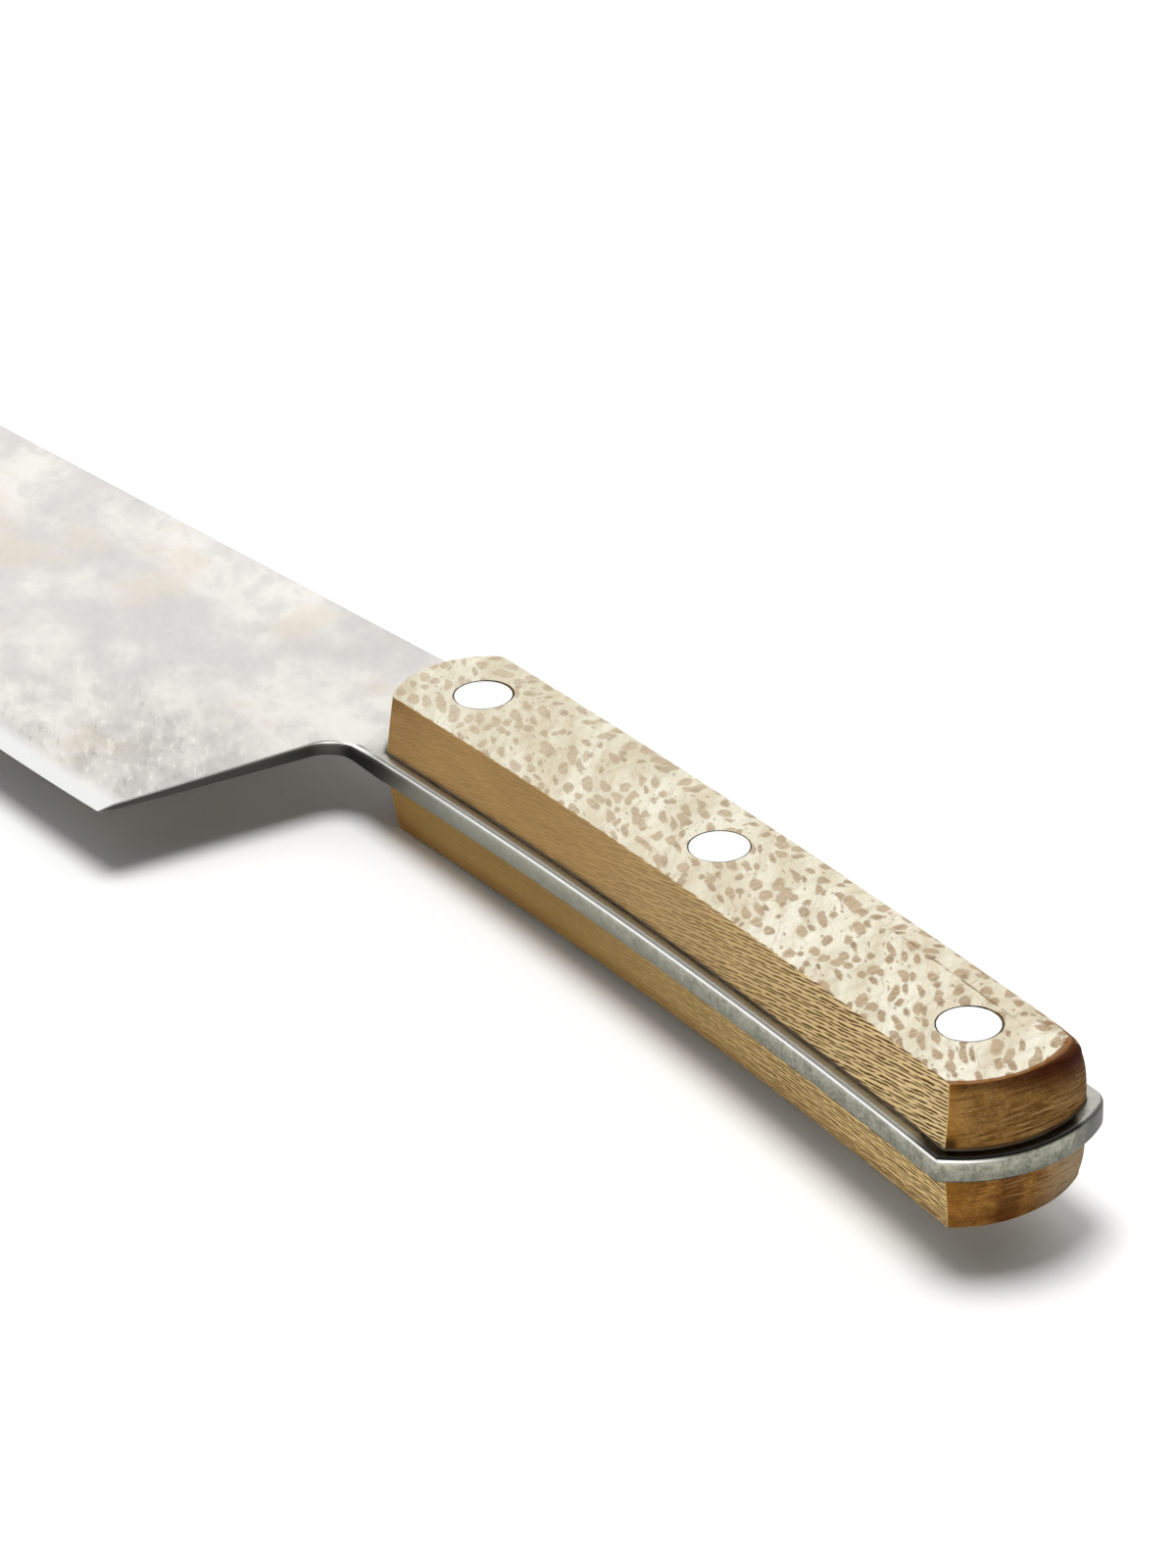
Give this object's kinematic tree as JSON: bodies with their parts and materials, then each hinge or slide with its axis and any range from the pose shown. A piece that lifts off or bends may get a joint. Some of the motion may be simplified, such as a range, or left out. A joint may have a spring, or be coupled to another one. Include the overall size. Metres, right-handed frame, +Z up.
{
  "type": "kitchen knife",
  "caption": "Full-tang kitchen knife lying on its side: a tall ground steel blade and two pale flecked wooden scales held on the tang by flush rivets.",
  "frame": {"origin": "middle of the bounding box's bottom face, on the plane of the lower scale's outer face, which the knife lies on", "axes": "+X from the blade's tip towards the butt of the handle, +Y from the cutting edge towards the spine, +Z up through the handle's thickness"},
  "size_m": [0.3258, 0.0526, 0.0179],
  "materials": {
    "steel": "tumbled satin, pale grey and mottled, with a bright ground band along the cutting edge",
    "wood": "oiled lace-figured wood, cream faces with brown flecks and tan streaked sides",
    "rivet": "polished flush with the wood",
    "glue": "dark cured resin, seen only as a thin line"
  },
  "bodies": {
    "root": {"blade": "steel", "lower_scale": "wood", "upper_scale": "wood", "lower_glue_film": "glue", "upper_glue_film": "glue", "front_rivet_sleeve": "rivet", "middle_rivet_sleeve": "rivet", "rear_rivet_sleeve": "rivet", "front_rivet_stud": "rivet", "middle_rivet_stud": "rivet", "rear_rivet_stud": "rivet"}
  },
  "joints": []
}
